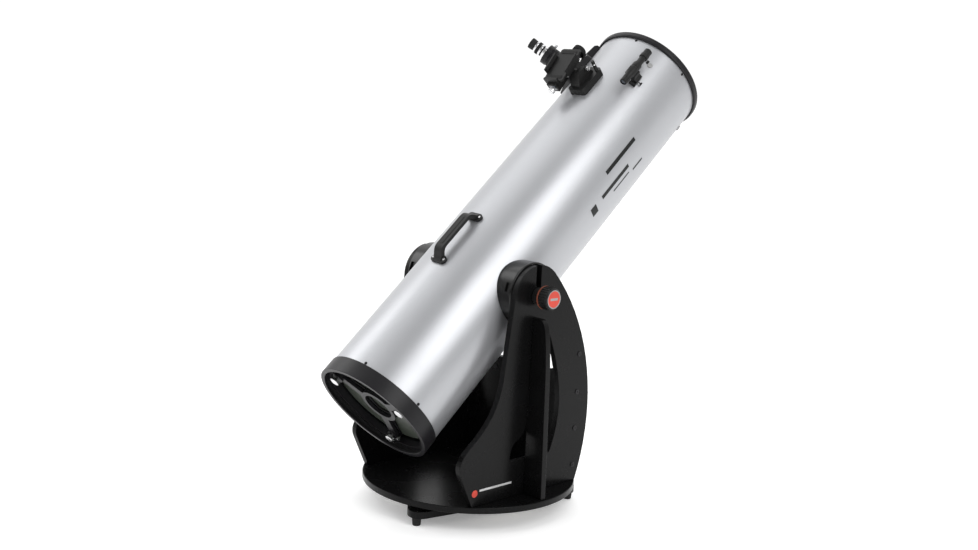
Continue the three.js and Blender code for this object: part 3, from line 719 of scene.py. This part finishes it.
bearing = {'radius': 0.092, 'face': 0.2177, 'edge': 0.004, 'tubeGap': 0.0006, 'knobBack': 0.258,
           'knobFace': 0.298, 'knob': 0.033, 'pocketRise': 17}
drum = turned([
    (0, 0.1), (bearing['radius'], 0.1), (bearing['radius'], bearing['face']), (0, bearing['face']),
], 144, bearing['edge'], segments=4)
tubeTool = cylinderOf(tube['radius'] + bearing['tubeGap'], -1.0, 1.0, 192)
settled(drum, onAxle(1))
settled(tubeTool, alongAt(axlePlace))
cutAway(drum, tubeTool)
# A blind pocket in the drum's rear, just above the axle.
pocket = boxOf(0.194, 0.2105, -0.1, -0.0865, -0.013, 0.013)
cutAway(drum, settled(pocket, moveBy(0, pivot.y, pivot.z) @ turnBy(-bearing['pocketRise'], 'X')))
for side, name in ((1, 'right'), (-1, 'left')):
    half = copied(drum, Matrix.Scale(side, 4, across))
    if side < 0:
        openMesh(half)
        bpy.ops.mesh.select_all(action='SELECT')
        bpy.ops.mesh.flip_normals()
        closeMesh()
    shown(half, f'trunnion_{name}_drum', 'tube', [f'trunnion_{name}'], 'gloss')
discarded(drum)

# Axle, spacer and knob are drawn on Z, their heights measured out from the tube's middle.
axle = turned([
    (0, 0.218), (0.0075, 0.218), (0.0075, 0.2575), (0.0049, 0.2575), (0.0049, 0.284), (0, 0.284),
], 40, 0.0004)
spacer = turned([
    (0.008, 0.2365), (0.025, 0.2365), (0.025, 0.2475), (0.022, 0.2485), (0.022, 0.2575), (0.008, 0.2575),
    (0.008, 0.2365),
], 72, 0.0007)
knobCore = turned([
    (0, bearing['knobBack']), (0.0302, bearing['knobBack']), (0.0302, 0.2605), (0.0285, 0.2608),
    (0.0285, 0.2655), (0.0298, 0.266), (0.0298, 0.2945), (0.0262, bearing['knobFace']),
    (0.0243, bearing['knobFace']), (0.0243, 0.2974), (0, 0.2974),
], 96, 0.0005, 'plastic')
knobRibs = painted(ribbed(0.0305, 0.2665, 0.2938, 26, 0.0021, 0.0007), 'plastic')
knobBand = turned([
    (0.0275, 0.2608), (bearing['knob'], 0.2608), (bearing['knob'], 0.2652), (0.0275, 0.2652),
    (0.0275, 0.2608),
], 96, 0.0008, 'orangeBand', 3)
knobRim = turned([
    (0.023, 0.2972), (0.0262, 0.2972), (0.0258, 0.2981), (0.0235, 0.2981), (0.023, 0.2972),
], 96, 0.0002, 'grey')
knobCap = turned([(0, 0.2973), (0.0232, 0.2973), (0.0228, 0.2978), (0, 0.298)], 96, 0.0001, 'orange')
knobMark = painted(rounded(boxOf(-0.0034, 0.0034, -0.0145, 0.0145, 0.2975, 0.29808), 0.0002), 'grey')
knob = joined(knobCore, knobRibs, knobBand, knobRim, knobCap, knobMark)
for side, name in ((1, 'right'), (-1, 'left')):
    place = onAxle(side)
    pin, washer, turning = f'tilt_axle_{name}', f'tension_washer_{name}', f'tension_knob_{name}'
    shown(copied(axle, place), f'{pin}_pin', 'tube', [pin], 'metal')
    shown(copied(spacer, place), f'tension_spacer_{name}', 'tube', [washer], 'plastic')
    shown(copied(knob, place), f'{turning}_grip', turning, [turning])
discarded(axle, spacer, knob)
print('bearings made')

handle = {'place': 0.518, 'angle': 4.5, 'top': 0.213, 'leg': 0.086, 'edge': 0.0034, 'ribHalf': 0.0045,
          'ribReach': 0.054, 'screwSide': 0.0195, 'screwSeat': 0.18395}
grip = rounded(refined('carry_handle', 0), handle['edge'], 4, 50)
onHandle = outAt(handle['place'], handle['angle'])
rib = rounded(boxOf(-handle['ribHalf'], handle['ribHalf'], -handle['ribReach'], handle['ribReach'],
                    handle['top'] - 0.001, handle['top'] + 0.0012), 0.001, 3)
painted(settled(rib, onHandle), 'plastic')
shown(joined(painted(grip, 'plastic'), rib), 'carry_handle_grip', 'tube', ['carry_handle'],
      angle=40)

handleScrew = turned([(0, 0), (0.0042, 0), (0.0042, 0.0012), (0.0022, 0.0024), (0, 0.0024)], 28, 0.0003)
cutAway(handleScrew, cylinderOf(0.0016, 0.001, 0.004, 6))
spots = [copied(handleScrew, onHandle @ moveBy(x, y, handle['screwSeat']))
         for x in (-handle['screwSide'], handle['screwSide']) for y in (-handle['leg'], handle['leg'])]
shown(joined(*spots), 'handle_screws', 'tube', finish='metal')
discarded(handleScrew)

# The red-dot finder is drawn on Z, its heights measured along the tube.
finder = {'angle': 45, 'side': -0.026, 'height': 0.22, 'dial': 1.339, 'dialSide': 0.0144, 'dialDrop': 0.006,
          'shoeScrew': (0.0055, 1.281, 0.1845)}
finderTurn = inTube @ turnBy(finder['angle'], 'Y')
onFinder = finderTurn @ moveBy(finder['side'], 0, finder['height']) @ turnBy(-90, 'X')
finderTube = turned([
    (0.008, 1.2221), (0.0105, 1.2221), (0.0118, 1.2245), (0.0118, 1.236), (0.0108, 1.2368), (0.0108, 1.239),
    (0.0118, 1.2398), (0.0118, 1.253), (0.0141, 1.2615), (0.0143, 1.285), (0.0136, 1.2858), (0.0136, 1.2888),
    (0.0143, 1.2896), (0.0143, 1.3045), (0.0105, 1.312), (0.0105, 1.336), (0.0138, 1.337), (0.0138, 1.3495),
    (0.0124, 1.3505), (0.0124, 1.3685), (0.0112, 1.3699), (0.008, 1.3699), (0.008, 1.2221),
], 72, 0.0004, 'plastic')
lensFront = turned([(0, 1.3665), (0.0079, 1.3665), (0.0079, 1.3675), (0, 1.3682)], 48, 0.0002, 'lens')
lensRear = turned([(0, 1.2235), (0.0079, 1.2245), (0.0079, 1.2255), (0, 1.2255)], 48, 0.0002, 'lens')
focusRing = painted(ribbed(0.0139, 1.264, 1.2835, 24, 0.0006, 0.0002), 'rubber')
shown(settled(joined(finderTube, lensFront, lensRear, focusRing), onFinder), 'finder_body_tube', 'tube',
      ['finder_body'])
dressed('finder_bracket', 'finder_bracket_arm', 'tube', 'plastic', 0.0009, sharpest=40)
dressed('finder_foot', 'finder_foot_shoe', 'tube', 'plastic', 0.001, sharpest=40)
dial = joined(rounded(cylinderOf(0.0048, 0, 0.0078, 32), 0.0005),
              ribbed(0.0053, 0.0012, 0.0072, 16, 0.0005, 0.0002))
dialSpot = finderTurn @ placedAt(finder['side'] + finder['dialSide'], finder['dial'],
                                    finder['height'] - finder['dialDrop'], 90, 'Y')
shown(settled(dial, dialSpot), 'finder_dial_knob', 'finder_dial', ['finder_dial'], 'plastic')
thumb = joined(
    turned([(0, 0), (0.0017, 0), (0.0017, 0.008), (0.0044, 0.0082), (0.0044, 0.0125), (0, 0.0127)],
           32, 0.0003),
    ribbed(0.0042, 0.0084, 0.0122, 14, 0.0005, 0.0001))
shoeSpot = finderTurn @ placedAt(*finder['shoeScrew'], 90, 'Y')
shown(settled(thumb, shoeSpot), 'finder_shoe_screw', 'tube', finish='powder')
print('handle and finder made')

# The focuser and eyepiece are drawn on Z, their heights measured out from the tube's middle.
onFocuser = outAt(focuser['place'], focuser['angle'])
dressed('focuser_base', 'focuser_base_saddle', 'tube', 'powder', 0.0016, 3, 40, angle=40)
housing = refined('focuser_housing', 0.0012, sharpest=45)
flange = turned([
    (0.0296, 0.2362), (0.0405, 0.2362), (0.0405, 0.2382), (0.031, 0.2398), (0.0296, 0.2398), (0.0296, 0.2362),
], 72, 0.0004)
painted(settled(flange, onFocuser), 'powder')
shown(joined(painted(housing, 'powder'), flange), 'focuser_housing_casting', 'tube',
      ['focuser_housing'], angle=40)
saddle = {'screwSide': 0.041, 'screwReach': 0.054, 'screwSeat': 0.19095}
baseScrew = turned([(0, 0), (0.0048, 0), (0.0048, 0.0014), (0.0036, 0.003), (0, 0.003)], 32, 0.0003)
cutAway(baseScrew, cylinderOf(0.002, 0.0014, 0.004, 6))
corners = [copied(baseScrew, onFocuser @ moveBy(x, y, saddle['screwSeat']))
           for x in (-saddle['screwSide'], saddle['screwSide'])
           for y in (-saddle['screwReach'], saddle['screwReach'])]
shown(joined(*corners), 'focuser_base_screws', 'tube', finish='metal')
discarded(baseScrew)

drive = {'side': 0.035, 'height': 0.22, 'axle': 0.0035, 'axleHalf': 0.056}
onDrive = onFocuser @ placedAt(drive['side'], 0, drive['height'], -90, 'X')
pin = rounded(cylinderOf(drive['axle'], -drive['axleHalf'], drive['axleHalf'], 32), 0.0004)
shown(settled(pin, onDrive), 'focus_axle_pin', 'focus_knobs', ['focus_axle'], 'metal')
wheel = joined(
    turned([
        (0.0039, 0.042), (0.0135, 0.042), (0.0148, 0.0465), (0.0205, 0.0482), (0.0205, 0.0645),
        (0.0165, 0.065), (0.0155, 0.0638), (0.0035, 0.0638), (0.0035, 0.0571), (0.0039, 0.0571),
        (0.0039, 0.042),
    ], 72, 0.0004, 'plastic'),
    painted(ribbed(0.0207, 0.0494, 0.0636, 32, 0.0012, 0.0003), 'rubber'),
    turned([(0, 0.0636), (0.0118, 0.0636), (0.0112, 0.0645), (0, 0.0647)], 64, 0.0002, 'metal'))
for name, turn in (('front', 0), ('rear', 180)):
    shown(copied(wheel, onDrive @ turnBy(turn, 'X')), f'focus_knob_{name}_wheel', 'focus_knobs',
          [f'focus_knob_{name}'])
discarded(wheel)

drawtube = turned([
    (0.0256, 0.168), (0.0284, 0.168), (0.0284, 0.262), (0.0256, 0.262), (0.0256, 0.168),
], 96, 0.0004)
shown(settled(drawtube, onFocuser), 'drawtube_chrome', 'drawtube', ['drawtube'], 'metal')
collar = joined(
    turned([
        (0.0256, 0.2624), (0.0306, 0.2624), (0.0306, 0.267), (0.0297, 0.2678), (0.0297, 0.2835),
        (0.0314, 0.285), (0.0328, 0.287), (0.0328, 0.3025), (0.0316, 0.303), (0.0256, 0.303),
        (0.0256, 0.2624),
    ], 96, 0.0004, 'powder'),
    painted(ribbed(0.0301, 0.2695, 0.2825, 40, 0.0007, 0.0002), 'powder'))
shown(settled(collar, onFocuser), 'drawtube_collar_ring', 'drawtube', ['drawtube_collar'])
thumbScrew = joined(
    turned([(0, 0.0333), (0.0024, 0.0333), (0.0024, 0.0378), (0.0044, 0.0382), (0.0044, 0.0492), (0, 0.0494)],
           32, 0.0003),
    ribbed(0.0046, 0.0392, 0.0482, 18, 0.0004, 0.0001))
collarScrewHeight = 0.294
onCollar = onFocuser @ placedAt(0, 0, collarScrewHeight, -90, 'X')
shown(settled(thumbScrew, onCollar), 'collar_screw_knurled', 'collar_screw', ['collar_screw'],
      'metal')

# Eyepiece bands as (outer radius, bottom, top, edge, finish), from the barrel up to the eye cup.
bands = (
    (0.0251, 0.2762, 0.3034, 0.0004, 'powder'), (0.021, 0.3034, 0.3132, 0.001, 'metal'),
    (0.018, 0.3132, 0.3185, 0.0003, 'powder'), (0.0202, 0.3185, 0.3255, 0.0008, 'metal'),
    (0.0202, 0.3362, 0.3432, 0.0014, 'metal'),
)
eyepiece = joined(
    *[turned([(0, low), (r, low), (r, high), (0, high)], 72, edge, finish)
      for r, low, high, edge, finish in bands],
    painted(ribbed(0.0196, 0.3257, 0.336, 30, 0.0007, 0.0002), 'rubber'),
    turned([
        (0.0095, 0.3432), (0.0172, 0.3432), (0.0172, 0.3505), (0.0178, 0.3525), (0.0179, 0.3625),
        (0.0168, 0.364), (0.0125, 0.3622), (0.0095, 0.357), (0.0095, 0.3432),
    ], 72, 0.0004, 'rubber'),
    painted(spun([(0, 0.3555), (0.006, 0.3561), (0.0096, 0.3566), (0.0096, 0.354), (0, 0.354)], 48), 'lens'))
shown(settled(eyepiece, onFocuser), 'eyepiece_barrels', 'drawtube', ['eyepiece'])
print('focuser made')

# The telephone dock's cradle leans on its hinge.
dock = {'hinge': (-0.008, 1.196, 0.226), 'lean': 10, 'knob': (-0.053, 0, 0.23),
        'sideKnob': (0.0159, 1.218, 0.224), 'post': (0.032, 1.242, 0)}
hinge = Vector(dock['hinge'])
onDock = inTube @ Matrix.Translation(hinge) @ turnBy(dock['lean'], 'X') @ Matrix.Translation(-hinge)
dressed('dock_base', 'dock_base_saddle', 'tube', 'plastic', 0.0014, sharpest=40, angle=40)
cradle = painted(refined('dock_cradle', 0.0007, sharpest=40), 'plastic')
# Two rests under the telephone, a side rest and a foot rest.
pads = [painted(settled(rounded(boxOf(*spot), 0.0005), onDock), 'rubber') for spot in (
    (-0.084, -0.024, 1.15, 1.162, 0.2499, 0.2514), (-0.084, -0.024, 1.248, 1.26, 0.2499, 0.2514),
    (-0.0155, -0.0148, 1.176, 1.234, 0.2518, 0.262), (-0.074, -0.032, 1.1429, 1.1443, 0.2518, 0.2605))]
hoodGlass = rounded(boxOf(-0.066, -0.04, 1.1272, 1.1282, 0.221, 0.24), 0.0003)
painted(settled(hoodGlass, onDock), 'lens')
shown(joined(cradle, *pads, hoodGlass), 'dock_cradle_tray', 'dock_cradle', ['dock_cradle'],
      angle=40)
jaw = painted(refined('dock_jaw', 0.0006, sharpest=40), 'plastic')
jawPad = rounded(boxOf(-0.0932, -0.0922, 1.174, 1.236, 0.2518, 0.2625), 0.0004)
painted(settled(jawPad, onDock), 'rubber')
shown(joined(jaw, jawPad), 'dock_jaw_clamp', 'dock_jaw', ['dock_jaw'], angle=40)
dockKnob = joined(
    turned([
        (0, 1.1101), (0.0086, 1.1101), (0.0094, 1.1115), (0.0094, 1.1205), (0.0082, 1.1219), (0.004, 1.1228),
        (0.004, 1.1276), (0, 1.1276),
    ], 48, 0.0003),
    ribbed(0.0101, 1.1122, 1.1198, 28, 0.0006, 0.0002))
onKnob = onDock @ placedAt(*dock['knob'], -90, 'X')
shown(settled(dockKnob, onKnob), 'dock_knob_knurled', 'dock_knob', ['dock_knob'], 'metal')
sideKnob = joined(
    turned([(0, 0), (0.0026, 0), (0.0026, 0.006), (0.0066, 0.0064), (0.0066, 0.0132), (0, 0.0136)],
           40, 0.0003),
    ribbed(0.0065, 0.0072, 0.0126, 20, 0.0005, 0.0002))
onSide = inTube @ placedAt(*dock['sideKnob'], 90, 'Y')
shown(settled(sideKnob, onSide), 'dock_side_knob', 'tube', finish='metal')
postRing = turned([
    (0.0056, 0.2205), (0.0066, 0.2205), (0.0066, 0.2245), (0.0056, 0.2245), (0.0056, 0.2205),
], 40, 0.0002)
onPost = inTube @ moveBy(*dock['post'])
shown(settled(postRing, onPost), 'dock_post_ring', 'tube', finish='metal')
print('dock made')

# Plain marks stand where the maker's lettering would be.
marks = {'radius': tube['radius'] + 0.00012, 'thick': 0.00018, 'place': 0.898, 'angle': 92,
         'panelThick': 0.0003, 'dotRadius': 0.0105, 'dotThick': 0.0004, 'panelHeight': 0.112,
         'panelForward': 0.2}


# A flat shape drawn in X and Y, wrapped on to the tube at a place and an angle from its top.
def wrapped(piece, place, angle, finish):
    openMesh(piece)
    bpy.ops.mesh.select_all(action='SELECT')
    bpy.ops.mesh.subdivide(number_cuts=5)
    closeMesh()
    for corner in piece.data.vertices:
        bend = corner.co.x / marks['radius']
        reach = marks['radius'] + corner.co.z
        corner.co = (reach * math.sin(bend), corner.co.y, reach * math.cos(bend))
    settled(piece, outAt(place, angle))
    return painted(piece, finish)


# Bars and one block on the tube, as (middle, half width, low end, high end).
bars = [boxOf(x - w, x + w, low, high, 0, marks['thick']) for x, w, low, high in (
    (-0.038, 0.0062, 0.078, 0.236), (0.0155, 0.014, -0.041, -0.013), (0.0075, 0.0062, 0.02, 0.166),
    (0.029, 0.0024, 0.072, 0.158), (0.037, 0.0032, 0.178, 0.23))]
flat = [wrapped(bar, marks['place'], marks['angle'], 'ink') for bar in bars]
shown(joined(*flat), 'tube_plain_mark', 'tube', angle=30)
dotRadius, dotThick = marks['dotRadius'], marks['dotThick']
dot = turned([(0, 0), (dotRadius, 0), (dotRadius, dotThick), (0, dotThick)], 48, 0.0001, 'orange')
panelBar = painted(boxOf(-0.0085, -0.0025, 0.018, 0.142, 0, marks['panelThick']), 'paleInk')
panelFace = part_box('side_panel_right')[1].x
panelCorner = Vector((panelFace, discMiddle.y - marks['panelForward'], marks['panelHeight']))
onPanel = basis(Vector((0, 0, -1)), Vector((0, 1, 0)), across, panelCorner)
shown(settled(joined(dot, panelBar), onPanel), 'panel_plain_mark', 'rocker')
print('marks made')

# The glide plate hides between the boards, so it is carried over as it is.
painted(frame['nodes']['azimuth_glide_plate'], 'pad')
print('scene handed over')
